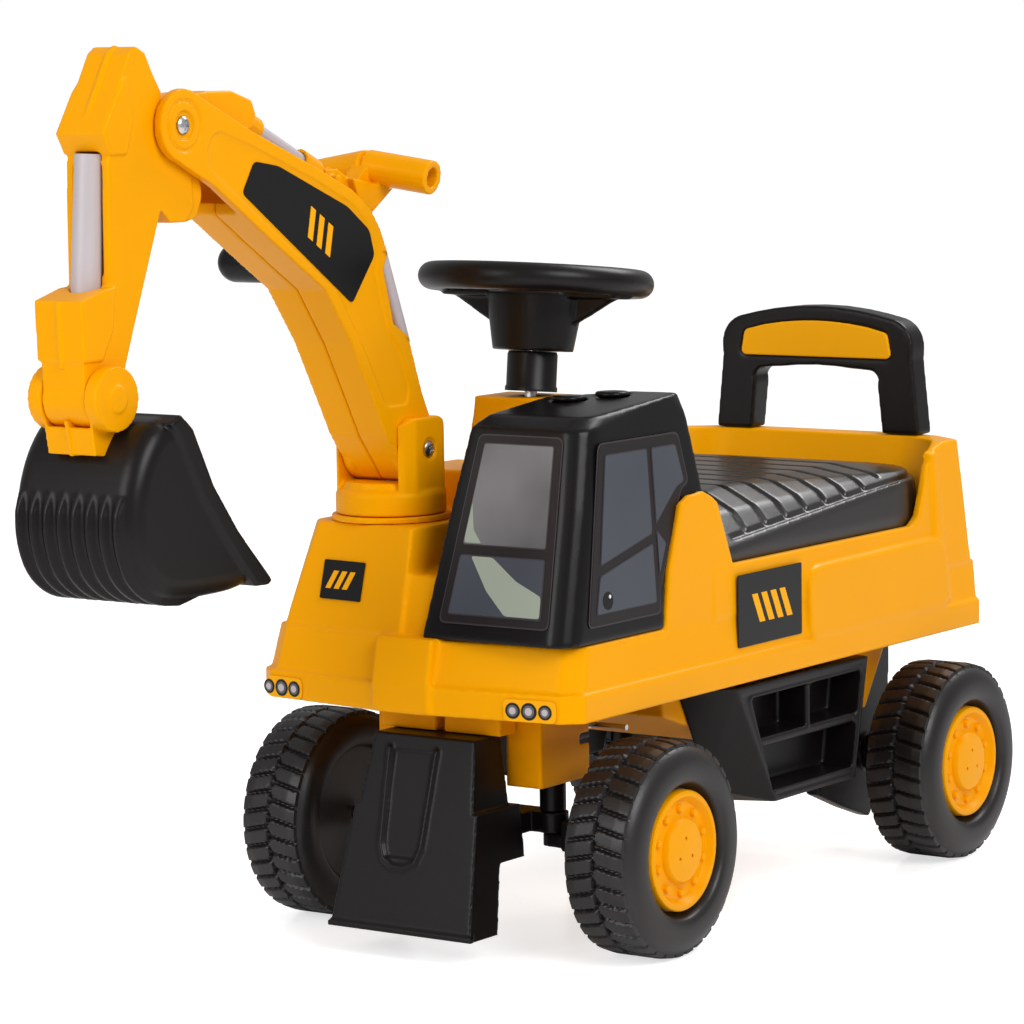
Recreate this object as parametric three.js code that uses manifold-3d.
// Ride-on digger for a toddler: foot-to-floor body on four wheels, cab on the left, swinging boom on the
// right.
// Millimetres. +X is forward, +Y is the vehicle's left, +Z is up, and Z = 0 is the floor.
// Inside this file X is counted from the front axle; the group at the end moves the whole toy so that the
// origin lies under the middle of its bounding box.
import * as THREE from "three";
import { ConvexGeometry } from "three/addons/geometries/ConvexGeometry.js";
import { mergeVertices } from "three/addons/utils/BufferGeometryUtils.js";
import Module from "manifold-3d";

const wasm = await Module();
wasm.setup();

// ---- driving dimensions ----------------------------------------------------------------------------------
const FRONT_AXLE_X = 57.5; // the front axle's place ahead of the middle of the footprint
const WHEEL_BASE = 368;
const REAR_AXLE_X = -WHEEL_BASE;
const WHEEL_R = 68;
const WHEEL_Y = 125.25; // middle of each wheel, left and right of the centre line
const AXLE_R = 4;
const GAP = 0.35; // clearance between pieces that touch
const WALL = 2.8; // moulded wall

const SKIRT_Z = 154.7; // underside of the body's skirt
const SKIRT_TOP = 172.5;
const DECK_Z = 200.5; // front deck that the cab and the bonnet stand on
const SIDE_TOP = 232.5; // top of the side walls beside the seat
const HALF_WIDTH = 123;
const UPPER_HALF = 118; // half width above the skirt
const HOOD_TOP = 266;
const TAIL_TOP = 287;

const TURRET = [18.5, -58]; // X and Y of the boom's upright axis
const BOOM_PIVOT = [18.5, 311.6]; // X and Z of the boom's hinge
const BOOM_HALF = 23; // half width of the boom
const EYE = [243.8, 520.6]; // X and Z of the hinge at the boom's tip
const KNEE = [314, 366]; // X and Z of the bucket's hinge
const LEVER_PIVOT = [103, 443];
const LEVER_PIN = [82, 483];
const ARM_PIN = [175, 526];
const BUCKET_HALF = 47;

const COLUMN_FOOT = [-55.7, 0, 341]; // where the steering column leaves its tower
const COLUMN_TILT = THREE.MathUtils.degToRad(6.1); // the column leans back
const KINGPIN_Y = 51;
const ARM_REACH = 34; // knuckle arm, behind the kingpin
const CRANK_REACH = 20; // crank on the steering shaft
const FINE = 28; // sides of the large round shapes
const COARSE = 12; // sides of the small round shapes

// ---- colours ---------------------------------------------------------------------------------------------
const YELLOW = { color: 0xffb400, roughness: 0.35, metalness: 0 };
const ORANGE = { color: 0xfca31a, roughness: 0.4, metalness: 0 };
const BLACK = { color: 0x1b1a19, roughness: 0.45, metalness: 0 };
const TYRE = { color: 0x171615, roughness: 0.6, metalness: 0 };
const GREY = { color: 0xb9b3b5, roughness: 0.4, metalness: 0 };
const STEEL = { color: 0xb8b8bc, roughness: 0.3, metalness: 1 };
const LABEL = { color: 0x101010, roughness: 0.3, metalness: 0 };
const GLASS_PRINT = { color: 0x55595f, roughness: 0.25, metalness: 0 };

// ---- shape helpers ---------------------------------------------------------------------------------------
function solid(geometry) {
  const bare = geometry.clone();
  bare.deleteAttribute("normal");
  bare.deleteAttribute("uv");
  const merged = mergeVertices(bare, 1e-4);
  const vertProperties = new Float32Array(merged.attributes.position.array);
  const triVerts = new Uint32Array(merged.index.array);
  return new wasm.Manifold(new wasm.Mesh({ numProp: 3, vertProperties, triVerts }));
}

function meshGeometry(body) {
  const { vertProperties, triVerts } = body.getMesh();
  const geometry = new THREE.BufferGeometry();
  geometry.setAttribute("position", new THREE.BufferAttribute(new Float32Array(vertProperties), 3));
  geometry.setIndex(new THREE.BufferAttribute(new Uint32Array(triVerts), 1));
  geometry.computeVertexNormals();
  return geometry;
}

const join = (...bodies) => bodies.reduce((whole, body) => whole.add(body));
const cut = (body, ...tools) => tools.reduce((rest, tool) => rest.subtract(tool), body);

function extrude(points, depth) {
  const shape = new THREE.Shape(points.map(([x, y]) => new THREE.Vector2(x, y)));
  return new THREE.ExtrudeGeometry(shape, { depth, bevelEnabled: false, curveSegments: 6 });
}

// An outline in X and Y, between two heights.
function alongZ(points, low, high) {
  return solid(extrude(points, high - low).translate(0, 0, low));
}

// An outline in X and Z, between two values of Y.
function alongY(points, y0, y1) {
  const low = Math.min(y0, y1);
  const high = Math.max(y0, y1);
  return solid(extrude(points, high - low).rotateX(Math.PI / 2).translate(0, high, 0));
}

// An outline in Y and Z, between two values of X.
function alongX(points, low, high) {
  const turn = new THREE.Matrix4().makeBasis(
    new THREE.Vector3(0, 1, 0),
    new THREE.Vector3(0, 0, 1),
    new THREE.Vector3(1, 0, 0),
  );
  return solid(extrude(points, high - low).applyMatrix4(turn).translate(low, 0, 0));
}

function box(x, y, z) {
  const size = [x, y, z].map(([a, b]) => Math.abs(b - a));
  const middle = [x, y, z].map(([a, b]) => (a + b) / 2);
  return solid(new THREE.BoxGeometry(...size).translate(...middle));
}

const hull = (points) => solid(new ConvexGeometry(points.map((p) => new THREE.Vector3(...p))));

function rod(radius, from, to, sides = COARSE) {
  const a = new THREE.Vector3(...from);
  const b = new THREE.Vector3(...to);
  const geometry = new THREE.CylinderGeometry(radius, radius, a.distanceTo(b), sides);
  const along = b.clone().sub(a).normalize();
  geometry.applyQuaternion(new THREE.Quaternion().setFromUnitVectors(new THREE.Vector3(0, 1, 0), along));
  return solid(geometry.translate(...a.add(b).multiplyScalar(0.5)));
}

// A disc or pin across the vehicle, centred on an X, Z point.
const crossRod = (radius, [x, z], y0, y1, sides) => rod(radius, [x, y0, z], [x, y1, z], sides);

// A ring of points on a circle, for rounded outlines.
function arc([cx, cy], radius, fromDeg, toDeg, steps = 5) {
  return Array.from({ length: steps + 1 }, (_, i) => {
    const angle = THREE.MathUtils.degToRad(fromDeg + ((toDeg - fromDeg) * i) / steps);
    return [cx + radius * Math.cos(angle), cy + radius * Math.sin(angle)];
  });
}

// The same points pulled in from their bounding box by a wall, for the inside of a hollow piece.
function shrink(points, wall) {
  const box3 = new THREE.Box3().setFromPoints(points.map((p) => new THREE.Vector3(...p)));
  const size = box3.getSize(new THREE.Vector3());
  const middle = box3.getCenter(new THREE.Vector3());
  return points.map(([x, y, z]) => [
    middle.x + ((x - middle.x) * (size.x - 2 * wall)) / size.x,
    middle.y + ((y - middle.y) * (size.y - 2 * wall)) / size.y,
    z - wall,
  ]);
}

// The room inside a tapered block, open at the floor height given.
function room(points, wall, floor) {
  const inner = shrink(points, wall);
  const upper = inner.filter((p) => p[2] > floor);
  const low = Math.min(...points.map((p) => p[2]));
  const feet = inner.filter((p) => p[2] <= low).map(([x, y]) => [x, y, floor]);
  return hull([...upper, ...inner, ...feet]);
}

const atHeight = (plan, z) => plan.map(([x, y]) => [x, y, z]);

const toy = new THREE.Group();

function piece(name, body, look, parent = toy) {
  const mesh = new THREE.Mesh(meshGeometry(body), new THREE.MeshStandardMaterial(look));
  mesh.name = name;
  parent.add(mesh);
  return mesh;
}

const SIDES = [
  ["left", 1],
  ["right", -1],
];

// ---- body ------------------------------------------------------------------------------------------------
const shaftX = (z) => COLUMN_FOOT[0] + (COLUMN_FOOT[2] - z) * Math.tan(COLUMN_TILT);

// The body's plan: a shallow arrow at the nose, rounded corners and a full tail.
function bodyPlan(inset, noseBack = 0, tailIn = 0) {
  const half = HALF_WIDTH - inset;
  const right = [
    [91 - inset - noseBack, -12],
    [79 - inset - noseBack, -half + 12],
    [69 - inset - noseBack, -half],
    [-430 + tailIn, -half],
    [-440 + inset + tailIn, -half + 8],
    [-446 + inset + tailIn * 0.6, -half + 26],
    [-448 + inset + tailIn * 0.3, -60],
  ];
  const left = right.map(([x, y]) => [x, -y]).reverse();
  return [...left, ...right].reverse();
}

// The seat's plan, larger or smaller by an offset: square at the front, broad curves at the back.
function seatPlan(offset) {
  const half = 111.5 + offset;
  const corner = [-350, half - 46];
  const back = arc(corner, 46, 90, 180, 6);
  const left = [[-111.5 + offset, half], ...back];
  return [...left, ...left.map(([x, y]) => [x, -y]).reverse()];
}

const HOOD_FOOT = [
  [79, -9],
  [66, -109.5],
  [-105, -112],
  [-105, -9],
];
const HOOD_ROOF = [
  [59, -12],
  [50, -92],
  [40, -101],
  [-105, -104],
  [-105, -12],
];
const HOOD = [...atHeight(HOOD_FOOT, DECK_Z - 2), ...atHeight(HOOD_ROOF, HOOD_TOP)];

const TOWER_FOOT = [
  [-22, -44],
  [-27, 6],
  [-58, 38],
  [-96, 44],
  [-96, -44],
];
const TOWER_ROOF = [
  [-41, -34],
  [-41, 10],
  [-57, 32],
  [-80, 34],
  [-80, -34],
];
const TOWER = [...atHeight(TOWER_FOOT, DECK_Z - 2), ...atHeight(TOWER_ROOF, 340.5)];

const SHOULDER = [
  ...atHeight([[-30, -96], [-30, -30], [-104, -30], [-104, -96]], DECK_Z),
  ...atHeight([[-38, -90], [-38, -30], [-98, -30], [-98, -90]], 292),
];

// The raised ear beside the cab's back edge, and its twin on the right.
const EAR = [
  [-29.6, DECK_Z - 1],
  [-35, 237],
  [-49, 277],
  [-59, 281.5],
  [-76, 282.8],
  [-86, 278.6],
  [-93, 274],
  [-111, SIDE_TOP],
  [-112, DECK_Z - 1],
];

// The body's outline from the side, behind the leg room: low beside the seat, rising round the tail.
const TAIL_PROFILE = [
  [-86, DECK_Z - 1],
  [-86, SIDE_TOP],
  [-343, SIDE_TOP],
  [-352, 238],
  [-359, 254],
  [-365, 272],
  [-375, 283],
  [-390, TAIL_TOP],
  [-455, TAIL_TOP],
  [-455, DECK_Z - 1],
];
// The same outline a wall's thickness further in, for the room inside.
const TAIL_ROOM = [
  [-86, SKIRT_Z - 5],
  [-86, SIDE_TOP - WALL],
  [-343, SIDE_TOP - WALL],
  [-354, 236],
  [-362, 252],
  [-368, 269],
  [-376, 280],
  [-390, TAIL_TOP - WALL],
  [-455, TAIL_TOP - WALL],
  [-455, SKIRT_Z - 5],
];
const TAIL_LEAN = 21; // how far the tail's corners lean forward at its top
const RIM_SLOPE_Z = 262; // where the rim behind the seat starts to slope backwards
const RIM_SLOPE_RUN = 15;
const RIM_WALL = 6; // the rim is thick beside the seat, so that no thin slit is left in it

const SEAT_LEDGE = SIDE_TOP - 3.5;
// The room for the seat lid: upright walls, then a rim that slopes outwards behind the seat.
function seatWell(offset, low) {
  const plan = seatPlan(offset);
  const back = plan.map(([x, y]) => [x < -300 ? x - RIM_SLOPE_RUN : x, y]);
  return hull([
    ...atHeight(plan, low),
    ...atHeight(plan, RIM_SLOPE_Z),
    ...atHeight(back, TAIL_TOP + 3),
  ]);
}
const HINGE = [-117.5, 252]; // X and Z of the seat's hinge, at its front edge
const LUG_Y = 75;
// A lug on the seat's ledge with a stub pin out of each cheek; the seat lid snaps over both.
function hingeLug(s) {
  const cheek = alongY([
    [HINGE[0] - 4.5, SEAT_LEDGE - 1],
    ...arc(HINGE, 3.6, 180, 0, 6),
    [HINGE[0] + 4, SEAT_LEDGE - 1],
  ].reverse(), s * (LUG_Y - 3.5), s * (LUG_Y + 3.5));
  return join(cheek, crossRod(2.2, HINGE, s * (LUG_Y - 9), s * (LUG_Y + 9)));
}

function bodyShell() {
  const skirt = alongZ(bodyPlan(0), SKIRT_Z, SKIRT_TOP);
  const deck = hull([...atHeight(bodyPlan(2.5), SKIRT_TOP - 1), ...atHeight(bodyPlan(5, 6), DECK_Z)]);
  const rear = hull([
    ...atHeight(bodyPlan(3.5), SKIRT_TOP),
    ...atHeight(bodyPlan(6, 0, TAIL_LEAN), TAIL_TOP),
  ]);
  const rump = rear.intersect(alongY(TAIL_PROFILE, -130, 130));
  const ears = [
    alongY(EAR, 113.6, UPPER_HALF),
    alongY(EAR, -UPPER_HALF, -104),
    hull([...atHeight([[-88, 84], [-88, 116], [-110, 116], [-110, 84]], DECK_Z - 1),
      ...atHeight([[-88, 84], [-88, 114], [-96, 114], [-96, 84]], 262)]),
  ];
  const outer = join(skirt, deck, rump, hull(HOOD), hull(TOWER), hull(SHOULDER), ...ears);

  const floor = SKIRT_Z - 5;
  const rearRoom = hull([
    ...atHeight(bodyPlan(3.5 + WALL), floor),
    ...atHeight(bodyPlan(6 + WALL, 0, TAIL_LEAN), TAIL_TOP - WALL),
  ]).intersect(alongY(TAIL_ROOM, -130, 130));
  const inside = join(
    alongZ(bodyPlan(WALL), floor, SKIRT_TOP - WALL),
    hull([...atHeight(bodyPlan(6), floor), ...atHeight(bodyPlan(9, 6), DECK_Z - WALL)]),
    room(HOOD, WALL, floor),
    room(TOWER, WALL, floor),
    room(SHOULDER, WALL, floor),
    box([-120, -90], [-108, 108], [floor, SIDE_TOP - WALL]),
    cut(rearRoom, seatWell(GAP + RIM_WALL, SEAT_LEDGE - WALL)),
  );
  const bin = box([-325, -135], [-96, 96], [163, SIDE_TOP]);
  const binRoom = box([-325 + WALL, -135 - WALL], [-96 + WALL, 96 - WALL], [163 + WALL, SIDE_TOP + 5]);
  const seatRoom = seatWell(GAP, SEAT_LEDGE);
  const spindleHole = rod(19, [...TURRET, 240], [...TURRET, 280], FINE);
  const shaftHole = rod(AXLE_R + 1.2, [shaftX(300), 0, 300], [shaftX(350), 0, 350]);
  const lugs = SIDES.map(([, s]) => hingeLug(s));
  return join(cut(outer, cut(inside, bin), binRoom, seatRoom, spindleHole, shaftHole), ...lugs);
}
piece("body_shell", bodyShell(), YELLOW);

// The floor pan closes the body from below. Two keels under its nose hold the front guard.
const PAN_LOW = SKIRT_Z + 1.5;
function floorPan() {
  const plate = alongZ(bodyPlan(WALL + GAP, 8), PAN_LOW, PAN_LOW + 2.4);
  const keels = SIDES.map(([, s]) => box([31, 50], [s * 3, s * 46], [137.8, PAN_LOW + 0.5]));
  const hole = rod(AXLE_R + 1.5, [shaftX(150), 0, 150], [shaftX(165), 0, 165]);
  return cut(join(plate, ...keels), hole);
}
piece("floor_pan", floorPan(), YELLOW);

// The lower tub hangs under the pan between the axles and carries the side steps.
const TUB_PROFILE = [
  [-68, 156],
  [-72, 136],
  [-99, 127],
  [-150, 108],
  [-330, 106],
  [-356, 144],
  [-358, 156],
];
// The tub's hollow, open at the top.
const TUB_ROOM = [
  [-72, 160],
  [-75.5, 139],
  [-100, 130.5],
  [-151, 111.5],
  [-328, 109.5],
  [-352, 145],
  [-354, 160],
];
piece("lower_tub", cut(alongY(TUB_PROFILE, -88, 88), alongY(TUB_ROOM, -84.5, 84.5)), YELLOW);

// ---- cab -------------------------------------------------------------------------------------------------
const CAB_FOOT_Z = DECK_Z + GAP;
const CAB_FRONT = (z) => 78 - 0.287 * (z - 211); // the windscreen's slope
const CAB_ROOF = (x) => 337 + ((30 - x) * 8) / 94; // the roof rises a little to the back
// The left front corner at one height: a short curve from the windscreen round to the side.
function cabCorner(z, side) {
  const front = CAB_FRONT(z);
  const curve = [[front, side - 13], [front - 3, side - 6], [front - 8, side - 1.6], [front - 15, side]];
  return atHeight(curve, z);
}
const CAB_ROOF_PLAN = [
  [30, 28],
  [30, 93],
  [26, 99],
  [18, 103],
  [-60, 104],
  [-71, 102],
  [-69, 70],
  [-36, 25],
];
const CAB = [
  ...cabCorner(CAB_FOOT_Z, 118),
  ...atHeight([[CAB_FRONT(CAB_FOOT_Z), 9], [-30, 118], [-30, 46], [-24, 9]], CAB_FOOT_Z),
  ...cabCorner(282, 112.6),
  ...atHeight([[CAB_FRONT(282), 17], [-84, 112.6], [-84, 74], [-34, 14]], 282),
  ...cabCorner(330, 107.6),
  ...atHeight([[CAB_FRONT(330), 23], [-73, 68], [-38, 17], [-73, 107.6]], 330),
  ...CAB_ROOF_PLAN.map(([x, y]) => [x, y, CAB_ROOF(x)]),
];
const BUTTONS = [
  ["roof_button_front", [-28, 48]],
  ["roof_button_rear", [-49, 67]],
];
const BUTTON_R = 11;
function cabShell() {
  const outer = hull(CAB);
  const inner = room(CAB, WALL, CAB_FOOT_Z - 5);
  const behindEar = alongY(EAR.map(([x, z]) => [x + 0.6, z + 0.6]), 113.1, 125);
  const wells = BUTTONS.map(([, [x, y]]) => rod(BUTTON_R + 0.4, [x, y, CAB_ROOF(x) - 2.4], [x, y, 360], 24));
  const stems = BUTTONS.map(([, [x, y]]) => rod(3.5, [x, y, 320], [x, y, 350]));
  return cut(outer, inner, behindEar, ...wells, ...stems);
}
piece("cab_shell", cabShell(), BLACK);
for (const [name, [x, y]] of BUTTONS) {
  const top = CAB_ROOF(x) + 2.6;
  const cap = join(
    rod(BUTTON_R, [x, y, top - 3.2], [x, y, top - 0.8], 24),
    rod(BUTTON_R - 1.2, [x, y, top - 1], [x, y, top], 24),
    rod(2.8, [x, y, top - 14], [x, y, top - 3]),
  );
  piece(name, cap, BLACK);
}

// A thin label lying on a face, from its corners on that face and the direction that the face looks.
function label(corners, normal, thickness = 0.8, lift = GAP) {
  const n = new THREE.Vector3(...normal).normalize();
  const at = (p, d) => [p[0] + n.x * d, p[1] + n.y * d, p[2] + n.z * d];
  return hull([...corners.map((p) => at(p, lift)), ...corners.map((p) => at(p, lift + thickness))]);
}
const onScreen = ([y, z]) => [CAB_FRONT(z), y, z];
const SCREEN = [[21, 211.5], [103, 211.5], [94, 326], [31, 326]];
piece("cab_windscreen", label(SCREEN.map(onScreen), [1, 0, 0.287]), GLASS_PRINT);
const SIDE_SLOPE = (118 - 112.6) / (282 - CAB_FOOT_Z);
const onCabSide = ([x, z]) => [x, 118 - (z - CAB_FOOT_Z) * SIDE_SLOPE + 0.05, z];
const SIDE_WINDOW = [[33, 322], [-57, 322], [-66, 289.3], [-25, 211], [57, 211]];
const earRoom = alongY(EAR.map(([x, z]) => [x + 0.6, z + 0.6]), 100, 130);
piece("cab_side_window", cut(label(SIDE_WINDOW.map(onCabSide), [0, 1, SIDE_SLOPE]), earRoom), GLASS_PRINT);

// ---- labels on the body ----------------------------------------------------------------------------------
const HOOD_LEAN = 20 / (HOOD_TOP - DECK_Z + 2);
const hoodFace = ([y, z]) => {
  const low = 79 + ((y + 9) * 13) / 100.5;
  const high = 59 + ((y + 12) * 9) / 80;
  const up = (z - DECK_Z + 2) / (HOOD_TOP - DECK_Z + 2);
  return [low + (high - low) * up, y, z];
};
const BADGE = [[-81, 218.5], [-46, 218.5], [-46, 242.5], [-81, 242.5]];
piece("front_badge", label(BADGE.map(hoodFace), [1, -0.125, HOOD_LEAN], 0.8, 0.7), LABEL);
const SIDE_BADGE = [[-111, 178], [-190, 178], [-190, 225], [-111, 225]];
for (const [side, s] of SIDES) {
  const corners = SIDE_BADGE.map(([x, z]) => [x, s * (120.5 - (z - SKIRT_TOP) * 0.01), z]);
  piece(`side_badge_${side}`, label(corners, [0, s, 0]), LABEL);
  const [near, far] = s > 0 ? [73, 106] : [83, 110];
  const strip = [[near, 156], [far, 156], [far, 168], [near, 168]];
  const lamps = strip.map(([y, z]) => [91 - ((y - 12) * 12) / 99, s * y, z]);
  piece(`headlights_${side}`, label(lamps, [1, s * 0.121, 0], 0.8), LABEL);
}

// ---- front guard and axle carriers -----------------------------------------------------------------------
const GUARD_FACE = (z) => 101.4 - 0.257 * z; // the guard's front leans back
function frontGuard() {
  const tier = (points) => points.flatMap(([x, z, half]) => [[x, -half, z], [x, half, z]]);
  const toe = [[GUARD_FACE(17), 17, 54], [66, 17, 54]];
  const foot = [...toe, [57, 60, 50], [50, 93, 47], [GUARD_FACE(93), 93, 47]];
  const ledge = [[30, 60, 50], [30, 93, 47], [70, 60, 50], [GUARD_FACE(93) - 4, 93, 47]];
  const neck = [[GUARD_FACE(92), 92, 44], [GUARD_FACE(137), 137.2, 38.5], [38, 137.2, 38.5], [38, 92, 44]];
  const inset = (points, wall) => tier(points.map(([x, z, half]) => [x, z - wall, half - wall]));
  const hollow = join(
    hull(inset([[93, 10, 54], [66, 10, 54], [57, 60, 50], [50, 92, 47], [73, 92, 47]], WALL)),
    hull(inset([[33, 50, 50], [33, 92, 47], [70, 50, 50], [70, 92, 47]], WALL)),
    hull(inset([[74, 80, 44], [61, 137, 38.5], [42, 137, 38.5], [41, 80, 44]], WALL)),
  );
  const panel = hull([62, 128].flatMap((z) => [-22, 8].flatMap((y) => [
    [GUARD_FACE(z) - 1.2, y, z],
    [GUARD_FACE(z) + 12, y, z],
  ])));
  return cut(join(hull(tier(foot)), hull(tier(ledge)), hull(tier(neck))), hollow, panel);
}
piece("front_guard", frontGuard(), BLACK);

// Each carrier is a box open at its top and back; the kingpin turns in its floor and in the beam's end.
const CARRIER_Z = 103;
const BEAM_Z = [71, 84];
const ARM_Z = [126, 131];
const ROD_Z = [133, 137];
for (const [side, s] of SIDES) {
  const across = (near, far) => [s * near, s * far];
  const pinAt = (z) => [0, s * KINGPIN_Y, z];
  const block = box([-25, 30], across(36, 63), [CARRIER_Z, SKIRT_Z + 1]);
  const inner = box([-30, 26], across(40, 60.8), [CARRIER_Z + 12, SKIRT_Z + 5]);
  const bore = rod(5.6, pinAt(CARRIER_Z - 5), pinAt(CARRIER_Z + 20));
  const slot = box([-30, -14], across(58, 66), [ARM_Z[0] - 1, ARM_Z[1] + 1]);
  piece(`axle_carrier_${side}`, cut(block, inner, bore, slot), YELLOW);

  const pin = join(
    rod(5, pinAt(62), pinAt(ARM_Z[1])),
    rod(8.5, pinAt(BEAM_Z[1] + 0.5), pinAt(CARRIER_Z - 0.4), 20),
  );
  const plate = hull([62, BEAM_Z[0] - 0.5].flatMap((z) => [
    ...atHeight(arc([0, s * KINGPIN_Y], 6.5, 0, 360, 12), z),
    ...atHeight([[-8, s * 66], [8, s * 66]], z),
  ]));
  const lug = box([-8, 8], across(62, 74), [60, 80]);
  const barrel = rod(9, [0, s * 66, WHEEL_R], [0, s * 96, WHEEL_R], 20);
  const arm = hull(ARM_Z.flatMap((z) => [
    ...atHeight(arc([0, s * KINGPIN_Y], 5.5, 0, 360, 12), z),
    ...atHeight(arc([-ARM_REACH, s * KINGPIN_Y], 4.5, 0, 360, 12), z),
  ]));
  const stud = rod(3, [-ARM_REACH, s * KINGPIN_Y, ARM_Z[0] + 1], [-ARM_REACH, s * KINGPIN_Y, ROD_Z[1] + 1]);
  const seatHole = rod(AXLE_R + 0.4, [0, s * 70, WHEEL_R], [0, s * 99, WHEEL_R]);
  piece(`knuckle_${side}`, cut(join(pin, plate, lug, barrel, arm, stud), seatHole), BLACK);
  piece(`stub_axle_${side}`, rod(AXLE_R, [0, s * 70.5, WHEEL_R], [0, s * 138, WHEEL_R]), STEEL);
}

function frontBeam() {
  const bar = box([-9, 29.6], [-40, 40], BEAM_Z);
  const ends = SIDES.map(([, s]) => join(
    rod(10, [0, s * KINGPIN_Y, BEAM_Z[0]], [0, s * KINGPIN_Y, BEAM_Z[1]], 20),
    box([-9, 9], [s * 38, s * KINGPIN_Y], BEAM_Z),
  ));
  const bores = SIDES.map(([, s]) => rod(5.4, [0, s * KINGPIN_Y, 60], [0, s * KINGPIN_Y, 100]));
  return cut(join(bar, ...ends), ...bores);
}
piece("front_beam", frontBeam(), BLACK);

// The tie rod only slides sideways, so its slots let the arms' studs swing.
function tieRod() {
  const bar = box([-ARM_REACH - 7, -ARM_REACH + 6], [-KINGPIN_Y - 8, KINGPIN_Y + 8], ROD_Z);
  const lug = box([-62, -36], [-9, 9], ROD_Z);
  const middle = (ROD_Z[0] + ROD_Z[1]) / 2;
  const ends = SIDES.map(([, s]) => rod(
    1.9,
    [-ARM_REACH, s * (KINGPIN_Y + 6), middle],
    [-ARM_REACH, s * (KINGPIN_Y + 34), middle],
  ));
  const slots = SIDES.map(([, s]) => box(
    [-ARM_REACH - 3.5, -ARM_REACH + 4.3],
    [s * KINGPIN_Y - 3.6, s * KINGPIN_Y + 3.6],
    [120, 150],
  ));
  const crankSlot = box([-59.5, -48], [-3.7, 3.7], [120, 150]);
  return cut(join(bar, lug, ...ends), ...slots, crankSlot);
}
piece("tie_rod", tieRod(), STEEL);

const REAR_BRACKET = [
  [-300, 104],
  [-302, 47],
  [-340, 32],
  [-372, 21],
  [-390, 44],
  [-400, 100],
  [-402, SKIRT_Z + 1],
  [-364, SKIRT_Z + 1],
  [-340, 104],
];
// The part of the bracket that is hollowed out from its inner side.
const BRACKET_CORE = [
  [-306, 100],
  [-306, 51],
  [-341, 37],
  [-369, 27],
  [-385, 47],
  [-395, 100],
  [-397, 148],
  [-368, 148],
  [-344, 100],
];
for (const [side, s] of SIDES) {
  const plate = alongY(REAR_BRACKET, s * 56, s * 66);
  const boss = crossRod(12, [REAR_AXLE_X, WHEEL_R], s * 60, s * 96, 20);
  const bore = crossRod(AXLE_R + 0.4, [REAR_AXLE_X, WHEEL_R], s * 50, s * 110);
  const core = alongY(BRACKET_CORE, s * 50, s * 62);
  piece(`rear_bracket_${side}`, cut(join(cut(plate, core), boss), bore), BLACK);
}
piece("rear_axle", crossRod(AXLE_R, [REAR_AXLE_X, WHEEL_R], -138, 138), STEEL);

// ---- side steps ------------------------------------------------------------------------------------------
const STEP_INNER = [[-87, 151], [-285, 151], [-285, 108], [-268, 70], [-150, 70], [-123, 82]];
const STEP_OUTER = [[-112, 151.5], [-282, 151], [-264, 70], [-161, 70]];
const STEP_POCKET = [[-132, 142], [-273, 142], [-261, 78], [-158, 78]];
for (const [side, s] of SIDES) {
  const block = hull([
    ...STEP_INNER.map(([x, z]) => [x, s * 88.4, z]),
    ...STEP_OUTER.map(([x, z]) => [x, s * 118, z]),
  ]);
  const pocket = alongY(STEP_POCKET, s * 93, s * 125);
  const bar = box([-280, -140], [s * 93, s * 116], [108, 114]).intersect(hull([
    ...STEP_POCKET.flatMap(([x, z]) => [[x, s * 92, z], [x, s * 117, z]]),
  ]));
  const rib = box([-209, -204], [s * 93, s * 116], [111, 143]);
  const core = hull([
    ...[[-98, 147], [-127, 147], [-127, 86], [-125, 86]].map(([x, z]) => [x, s * 86, z]),
    ...[[-117, 147], [-127, 147], [-138, 100]].map(([x, z]) => [x, s * 112, z]),
  ]);
  piece(`side_step_${side}`, join(cut(block, pocket, core), bar, rib), BLACK);
}

// ---- backrest and seat -----------------------------------------------------------------------------------
const crown = (top, halves) => halves.map((y) => [y, top - 0.0021 * y * y]); // a gently arched top edge
const REST_OUTER = [
  [84, 282],
  [78, 340],
  ...arc([58, 349], 20.5, -5, 72, 6),
  ...crown(377, [50, 35, 18, 0]),
];
const REST_INNER = [[54.5, 280], [50, 322], ...arc([43, 324], 8, 15, 80, 3), ...crown(334.5, [30, 15, 0])];
const REST_INSERT = [
  ...arc([58, 344], 4, -90, 0, 3),
  [60.6, 352],
  ...arc([55, 355], 5, 15, 70, 3),
  ...crown(367, [42, 28, 14, 0]),
];
const mirrored = (points) => {
  const other = points.filter(([y]) => y > 0).map(([y, z]) => [-y, z]).reverse();
  return [...points, ...other];
};
const REST_X = [-433, -413];
const REST_FOOT = TAIL_TOP + GAP;
function backrest() {
  return cut(
    alongX(mirrored(REST_OUTER), ...REST_X),
    alongX(mirrored(REST_INNER), REST_X[0] - 5, REST_X[1] + 5),
    box([-450, -400], [-95, 95], [270, REST_FOOT]),
    alongX(mirrored(REST_INSERT), REST_X[1] - 2, REST_X[1] + 5),
  );
}
piece("backrest_frame", backrest(), BLACK);
const insertPlan = mirrored(REST_INSERT).map(([y, z]) => [y * 0.99, 352 + (z - 352) * 0.96]);
piece("backrest_insert", alongX(insertPlan, REST_X[1] - 1.6, REST_X[1] + 0.8), ORANGE);

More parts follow.
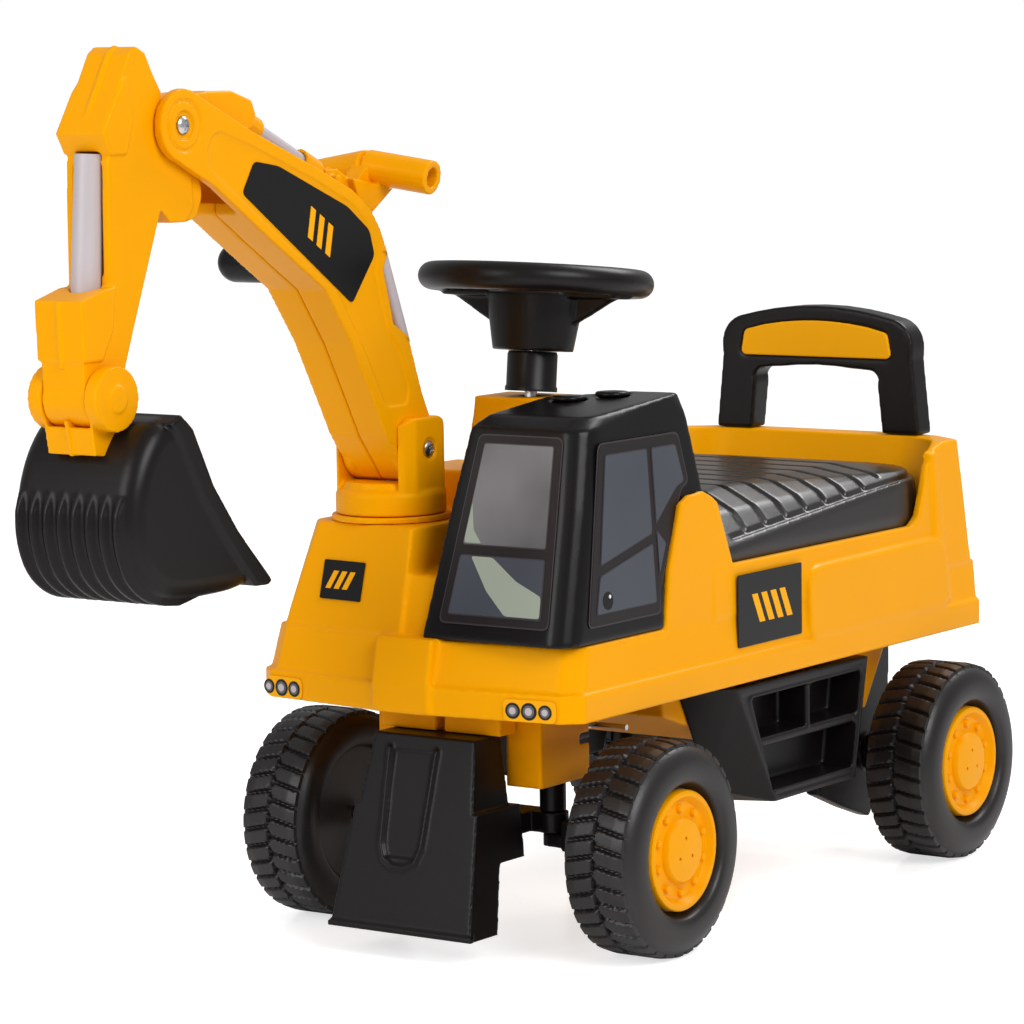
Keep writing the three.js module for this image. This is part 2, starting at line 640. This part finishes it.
const SEAT_FOOT = SEAT_LEDGE + GAP;
function seatLid() {
  const shell = hull([
    ...atHeight(seatPlan(0), SEAT_FOOT),
    ...atHeight(seatPlan(0), 240),
    ...atHeight(seatPlan(-2).filter(([x]) => x < -300), 262),
    ...atHeight(seatPlan(-10).filter(([x]) => x < -300), 269),
    ...atHeight(seatPlan(-18), 262),
    ...atHeight([[-124, 74], [-124, -74], [-376, 60], [-376, -60]], 271),
    ...atHeight([[-170, 70], [-170, -70], [-340, 62], [-340, -62]], 275),
  ]);
  const under = hull([
    ...atHeight(seatPlan(-3.2), SEAT_FOOT - 5),
    ...atHeight(seatPlan(-4.5).filter(([x]) => x < -300), 258),
    ...atHeight(seatPlan(-20.5), 259.5),
    ...atHeight([[-128, 72], [-128, -72], [-372, 58], [-372, -58]], 268),
    ...atHeight([[-170, 68], [-170, -68], [-338, 60], [-338, -60]], 271.5),
  ]);
  const hingeHole = join(...SIDES.map(([, s]) => join(
    crossRod(2.6, HINGE, s * 64, s * 86),
    box([-135, -105], [s * (LUG_Y - 4.5), s * (LUG_Y + 4.5)], [SEAT_FOOT - 5, HINGE[1] + 4.5]),
  )));
  const nose = join(
    box([-124, -111.8], [-104, 104], [SEAT_FOOT, 241]),
    hull([
      ...atHeight([[-124, 94], [-112, 94], [-112, -94], [-124, -94]], 240),
      ...atHeight([[-124, 84], [-114, 84], [-114, -84], [-124, -84]], 260),
    ]),
  );
  const toe = box([HINGE[0] - 0.5, -100], [-120, 120], [SEAT_FOOT - 5, SEAT_FOOT + 0.9]);
  return cut(join(cut(shell, under), nose), hingeHole, toe);
}
piece("seat_lid", seatLid(), BLACK);

// ---- steering --------------------------------------------------------------------------------------------
// Built upright around the column's own axis, then set down at its foot and tilted back.
const steering = new THREE.Group();
steering.position.set(...COLUMN_FOOT);
steering.rotation.y = -COLUMN_TILT;
toy.add(steering);
const RIM_R = 67;
const RIM_TUBE = 9;
const RIM_Z = 73.8;
const CUP_FOOT = 28.5;
function lathe(profile, sides = FINE) {
  const outline = profile.map(([r, z]) => new THREE.Vector2(r, z));
  return solid(new THREE.LatheGeometry(outline, sides).rotateX(Math.PI / 2));
}
function steeringWheel() {
  const rim = lathe(arc([RIM_R, RIM_Z], RIM_TUBE, 0, 360, 10));
  const bar = box([-9, 9], [-RIM_R, RIM_R], [63, 67.5]);
  const back = box([-RIM_R, 0], [-8, 8], [63, 67.5]);
  const cup = hull([
    ...arc([0, 0], 1, 0, 360, 20).map(([x, y]) => [x * 24, y * 34, 66]),
    ...arc([0, 0], 1, 0, 360, 20).map(([x, y]) => [x * 21, y * 28, CUP_FOOT]),
  ]);
  const web = alongX([[-64, 64], [-28, 44], [28, 44], [64, 64]], -3, 3);
  const pad = rod(22, [0, 0, 64], [0, 0, 73], 24);
  const socket = rod(AXLE_R + 0.35, [0, 0, CUP_FOOT - 2], [0, 0, 58]);
  return cut(join(rim, bar, back, cup, web, pad), socket);
}
piece("steering_wheel", steeringWheel(), BLACK, steering);
const columnTube = rod(16.5, [0, 0, 2.4], [0, 0, CUP_FOOT - 0.4], 24);
const columnBore = rod(AXLE_R + GAP, [0, 0, -5], [0, 0, 40]);
piece("steering_column", cut(columnTube, columnBore), BLACK, steering);
function steeringShaft() {
  const foot = (ROD_Z[1] + 4.5 - COLUMN_FOOT[2]) / Math.cos(COLUMN_TILT);
  const shaft = rod(AXLE_R, [0, 0, foot], [0, 0, 56]);
  const crank = box([-CRANK_REACH - 6, 5], [-6, 6], [foot, foot + 3.5]);
  const pin = rod(3, [-CRANK_REACH, 0, foot - 10], [-CRANK_REACH, 0, foot + 1]);
  return join(shaft, crank, pin);
}
piece("steering_shaft", steeringShaft(), STEEL, steering);

// ---- wheels ----------------------------------------------------------------------------------------------
// Profiles in radius and distance outward from the wheel's middle plane.
const TYRE_PROFILE = [
  [4.7, -20], [44, -20], [48, -26.75], [59, -26.75], [WHEEL_R, -17], [WHEEL_R, 17], [59, 26.75], [42, 26.75],
  [38.6, 16], [34, 16], [34, 13], [45, 13], [55, 22.5], [64.6, 13], [64.6, -14], [55, -22.5], [44, -17],
  [10, -17], [10, 14], [4.7, 14], [4.7, -20],
];
const CAP_PROFILE = [
  [0, 16.4], [38.2, 16.4], [38.2, 22], [32, 23.4], [27, 19.5], [22, 23.4], [0, 23.4],
];
const AXLES = [
  ["front", 0],
  ["rear", REAR_AXLE_X],
];
for (const [end, x] of AXLES) {
  for (const [side, s] of SIDES) {
    const turned = (profile) => {
      const outward = profile.map(([r, y]) => new THREE.Vector2(r, s * y));
      const points = s > 0 ? outward : outward.reverse();
      return solid(new THREE.LatheGeometry(points, FINE).translate(x, s * WHEEL_Y, WHEEL_R));
    };
    piece(`tyre_${end}_${side}`, turned(TYRE_PROFILE), TYRE);
    piece(`hub_cap_${end}_${side}`, turned(CAP_PROFILE), YELLOW);
  }
}

// ---- turret ----------------------------------------------------------------------------------------------
const [TX, TY] = TURRET;
const RING_LOW = HOOD_TOP + GAP;
piece("turret_collar", cut(
  rod(38, [TX, TY, RING_LOW], [TX, TY, 270], FINE),
  rod(19, [TX, TY, 260], [TX, TY, 280], FINE),
), YELLOW);
const EAR_IN = BOOM_HALF + 0.4;
const EAR_OUT = 31.5;
function turret() {
  const ring = rod(34.5, [TX, TY, 270.4], [TX, TY, 285], FINE);
  const spindle = rod(18, [TX, TY, 248], [TX, TY, 271], FINE);
  const foot = hull([
    ...atHeight(arc([TX, TY], 33, 0, 360, 20), 284),
    ...atHeight(arc([TX, TY], 30, 0, 360, 20), 291),
  ]);
  const outline = [[-14, 280], [-10, 312], [-3, 326], [8, 332], [34, 332], [46, 326], [50, 312], [52, 280]];
  const ears = SIDES.map(([, s]) => alongY(outline, TY + s * EAR_IN, TY + s * EAR_OUT));
  const trim = rod(34.4, [TX, TY, 280], [TX, TY, 340], FINE);
  const trough = crossRod(22.5, BOOM_PIVOT, TY - EAR_IN, TY + EAR_IN, FINE);
  const bore = crossRod(AXLE_R + 0.4, BOOM_PIVOT, TY - 40, TY + 40);
  return cut(join(ring, spindle, foot, ...ears.map((ear) => ear.intersect(trim))), trough, bore);
}
piece("turret", turret(), YELLOW);
piece("boom_pivot_bolt", crossRod(AXLE_R, BOOM_PIVOT, TY - 30.5, TY + 30.5), STEEL);

// ---- boom ------------------------------------------------------------------------------------------------
const BOOM_OUTLINE = [
  ...arc(BOOM_PIVOT, 21.5, 150, 300, 7),
  [52, 322],
  [64, 343.6],
  [86, 382],
  [112, 417],
  [163, 449],
  [217, 484],
  ...arc(EYE, 21.5, -60, 120, 8),
  [181, 516],
  [118, 492],
  [82, 477],
  [65, 465],
  [55, 452],
  [48, 436],
  [53, 427],
  [48, 410],
  [43, 392],
  [28, 384],
  [14, 346],
  [8, 334],
];
// The hollow inside each half of the boom.
const BOOM_ROOM = [
  [26, 338],
  [50, 334],
  [78, 378],
  [107, 421],
  [160, 454],
  [196, 478],
  [176, 507],
  [118, 486],
  [86, 472],
  [70, 460],
  [66, 446],
  [64, 426],
  [58, 398],
  [40, 376],
];
// The slot along the boom's back for the lever, the link and the stick's rear arm.
const BOOM_SLOT = [
  [60, 448],
  [100, 430],
  [150, 462],
  [206, 485],
  [216, 508],
  [226, 552],
  [100, 520],
  [20, 500],
  [30, 452],
];
const FORK = [[190, 460], [290, 460], [290, 565], [212, 565], [206, 520], [190, 505]];
// The light rod in the notch behind the boom's lower end.
const BACK_ROD = [[51, TY + 18, 440], [27, TY + 18, 379]];
function boomHalf(s) {
  const near = (y) => TY + s * y;
  const slab = alongY(BOOM_OUTLINE, near(0.15), near(BOOM_HALF));
  const cavity = alongY(BOOM_ROOM, near(-1), near(BOOM_HALF - WALL));
  const slot = alongY(BOOM_SLOT, near(-1), near(14.6));
  const fork = alongY(FORK, near(-1), near(17));
  const bore = crossRod(AXLE_R + 0.4, BOOM_PIVOT, near(-5), near(30));
  const eyeBore = crossRod(AXLE_R + 0.4, EYE, near(-5), near(30));
  const post = crossRod(4, LEVER_PIVOT, near(0.15), near(BOOM_HALF - WALL + 1));
  const backRod = rod(4.5 + GAP, BACK_ROD[0], BACK_ROD[1]);
  return join(cut(slab, cavity, slot, fork, bore, eyeBore, backRod), post);
}
piece("boom_half_left", boomHalf(1), YELLOW);
piece("boom_half_right", boomHalf(-1), YELLOW);
piece("boom_back_rod", rod(4.5, ...BACK_ROD), GREY);
piece("boom_tip_bolt", crossRod(AXLE_R, EYE, TY - BOOM_HALF - 1, TY + BOOM_HALF + 1), STEEL);
const GRIP = [98, 432];
const gripBody = join(
  crossRod(12.5, GRIP, TY - BOOM_HALF - GAP, TY - 57, 24),
  solid(new THREE.SphereGeometry(12.5, 24, 12).rotateX(Math.PI / 2).translate(GRIP[0], TY - 57, GRIP[1])),
);
piece("boom_grip", gripBody, BLACK);
const BOOM_BADGE = [
  [188, 476],
  [191.5, 484],
  [187.5, 492],
  [177, 497],
  [156, 494.5],
  [117, 479],
  [88, 467.5],
  [66, 452],
  [61, 436],
  [85, 407],
];
for (const [side, s] of SIDES) {
  const corners = BOOM_BADGE.map(([x, z]) => [x, TY + s * BOOM_HALF, z]);
  const badge = label(corners, [0, s, 0]);
  piece(`boom_badge_${side}`, s < 0 ? cut(badge, crossRod(13, GRIP, TY - 30, TY)) : badge, LABEL);
}

// ---- lever and link --------------------------------------------------------------------------------------
const BAR = [33, 487];
const LEVER_OUTLINE = [
  [98, 434],
  [112, 436],
  [112, 448],
  [92, 476],
  [88, 490],
  [76, 490],
  [58, 480],
  [40, 496],
  [26, 490],
  [26, 478],
  [50, 462],
  [82, 446],
];
function lever() {
  const plate = alongY(LEVER_OUTLINE, TY - 6, TY + 6);
  const hub = crossRod(11, LEVER_PIVOT, TY - 12, TY + 12, 20);
  const gusset = alongY([[26, 476], [68, 484], [62, 470], [48, 462]], TY - 12, TY + 12);
  const onBar = (s, y) => [BAR[0] + 3 - y * 0.109, TY + s * y, BAR[1] + 3 - y * 0.152];
  const grips = SIDES.map(([, s]) => rod(10.8, onBar(s, 0), onBar(s, 46), 20));
  const bores = SIDES.map(([, s]) => rod(6.3, onBar(s, 20), onBar(s, 52)));
  const post = crossRod(4.5, LEVER_PIVOT, TY - 30, TY + 30);
  const slit = alongY([[64, 476], [70, 500], [120, 500], [100, 470]], TY - 4.4, TY + 4.4);
  const pin = crossRod(3.5, LEVER_PIN, TY - 12, TY + 12);
  return join(cut(join(plate, hub, gusset, ...grips), post, ...bores, slit), pin);
}
piece("lever", lever(), YELLOW);
const LINK_DIR = new THREE.Vector2(ARM_PIN[0] - LEVER_PIN[0], ARM_PIN[1] - LEVER_PIN[1]).normalize();
const alongLink = (d) => [LEVER_PIN[0] + LINK_DIR.x * d, TY, LEVER_PIN[1] + LINK_DIR.y * d];
const LINK_LENGTH = Math.hypot(ARM_PIN[0] - LEVER_PIN[0], ARM_PIN[1] - LEVER_PIN[1]);
piece("link_barrel", cut(
  join(crossRod(8, LEVER_PIN, TY - 4, TY + 4), rod(8.5, alongLink(12), alongLink(30)),
    rod(3.9, alongLink(4), alongLink(20))),
  crossRod(3.9, LEVER_PIN, TY - 10, TY + 10),
  rod(6 + GAP, alongLink(22), alongLink(40)),
), YELLOW);
piece("link_rod", rod(6, alongLink(22.5), alongLink(LINK_LENGTH - 18.5)), GREY);
piece("link_head", cut(
  join(rod(8.5, alongLink(LINK_LENGTH - 26), alongLink(LINK_LENGTH - 14)),
    crossRod(8, ARM_PIN, TY - 5.5, TY + 5.5),
    rod(5.4, alongLink(LINK_LENGTH - 16), alongLink(LINK_LENGTH - 4))),
  crossRod(5.6, ARM_PIN, TY - 10, TY + 10),
  rod(6 + GAP, alongLink(LINK_LENGTH - 40), alongLink(LINK_LENGTH - 18)),
), YELLOW);

// ---- stick -----------------------------------------------------------------------------------------------
const STICK_HALF = 16;
const STICK_OUTLINE = [
  [270, 563],
  [264, 552],
  [256, 540],
  ...arc(EYE, 17, 40, 100, 4),
  [212, 540],
  [188, 540],
  [169, 534],
  [165, 525],
  [169, 517],
  [183, 514],
  [204, 516],
  [222, 508],
  [231, 497],
  [229, 472],
  [237, 464],
  [250, 464],
  [259, 472],
  [286, 404],
  [296, 378],
  ...arc(KNEE, 17.5, 150, 20, 5),
  [331, 378],
  [333, 422],
  [312, 428],
  [306, 430],
  [305, 500],
  [303, 506],
  [309, 517],
  [300, 535],
  [284, 563],
  [278, 567],
];
const STICK_ROD_R = 9;
const STICK_ROD = [[302.1, TY, 509], [309.6, TY, 418]];
// The hollow inside the stick; it opens into the channel at the front.
const STICK_ROOM = [
  [275, 555],
  [268, 540],
  [268, 492],
  [291, 405],
  [303, 400],
  [304, 424],
  [300, 500],
  [300, 520],
  [282, 555],
];
function stick() {
  const body = alongY(STICK_OUTLINE, TY - STICK_HALF, TY + STICK_HALF);
  const eyeBore = crossRod(AXLE_R + 0.4, EYE, TY - 20, TY + 20);
  const channel = box([290, 330], [TY - 10.5, TY + 10.5], [436, 500]);
  const sockets = rod(STICK_ROD_R + GAP, STICK_ROD[0], [310.2, TY, 411], 20);
  const tongue = alongY([[140, 500], [190, 500], [196, 548], [140, 548]], TY - 6.2, TY + 6.2);
  const armTrim = SIDES.map(([, s]) => box([140, 214], [TY + s * 13.8, TY + s * 30], [490, 560]));
  const hollow = alongY(STICK_ROOM, TY - STICK_HALF + WALL, TY + STICK_HALF - WALL);
  const eyeHole = crossRod(AXLE_R + 0.4, KNEE, TY - 20, TY + 20);
  const pin = crossRod(3, ARM_PIN, TY - 13, TY + 13);
  const knee = crossRod(17.5, KNEE, TY - STICK_HALF, TY + STICK_HALF, 24);
  return cut(join(cut(body, tongue, ...armTrim), pin, knee), eyeBore, channel, hollow, sockets, eyeHole);
}
piece("stick", stick(), YELLOW);
piece("stick_rod", rod(STICK_ROD_R, [302.4, TY, 505.5], [309.6, TY, 418], 20), GREY);

// ---- bucket ----------------------------------------------------------------------------------------------
const CHEEK_R = 19;
function bucketBracket() {
  const cheeks = SIDES.map(([, s]) => crossRod(CHEEK_R, KNEE, TY + s * (STICK_HALF + 0.5), TY + s * 26, 24));
  const pads = SIDES.map(([, s]) => crossRod(8, KNEE, TY + s * 25, TY + s * 27.5));
  const tab = alongY([[299, 356], [329, 356], [325, 334], [302, 332]], TY - 18, TY + 18);
  const turn = crossRod(18.2, KNEE, TY - STICK_HALF - 0.5, TY + STICK_HALF + 0.5, FINE);
  const relief = box([285, 345], [TY - STICK_HALF - 0.5, TY + STICK_HALF + 0.5], [350, 400]);
  const bore = crossRod(AXLE_R + 0.4, KNEE, TY - 24, TY + 24);
  return cut(join(cut(join(tab, ...cheeks), turn, relief), ...pads), bore);
}
piece("bucket_bracket", bucketBracket(), YELLOW);
piece("bucket_pin", crossRod(AXLE_R, KNEE, TY - 23, TY + 23), STEEL);

const BUCKET_OUTER = [
  [285, 355],
  [303, 352],
  [318, 334],
  [327, 312],
  [329, 286],
  [321, 264],
  [303, 250],
  [276, 246],
  [229, 246.5],
  [207, 252.5],
];
const BUCKET_INNER = [
  [280, 358],
  [284, 351.5],
  [300, 348.5],
  [314.5, 332],
  [323.3, 311],
  [325.3, 286],
  [318, 266.5],
  [301, 253.6],
  [276, 249.7],
  [229, 250.2],
  [200, 257],
  [190, 300],
  [250, 360],
];
function bucket() {
  const outline = [...BUCKET_OUTER, [234, 283], [256, 312], [274, 347]];
  const outer = alongY(outline, TY - BUCKET_HALF, TY + BUCKET_HALF);
  const inner = alongY(BUCKET_INNER, TY - BUCKET_HALF + 3, TY + BUCKET_HALF - 3);
  const notch = box([296.5, 340], [TY - 18.6, TY + 18.6], [330.8, 380]);
  const swing = crossRod(CHEEK_R + 0.8, KNEE, TY - 29, TY + 29, FINE);
  return cut(outer, inner, notch, swing);
}
piece("bucket", bucket(), BLACK);

toy.position.x = FRONT_AXLE_X;
export default toy;
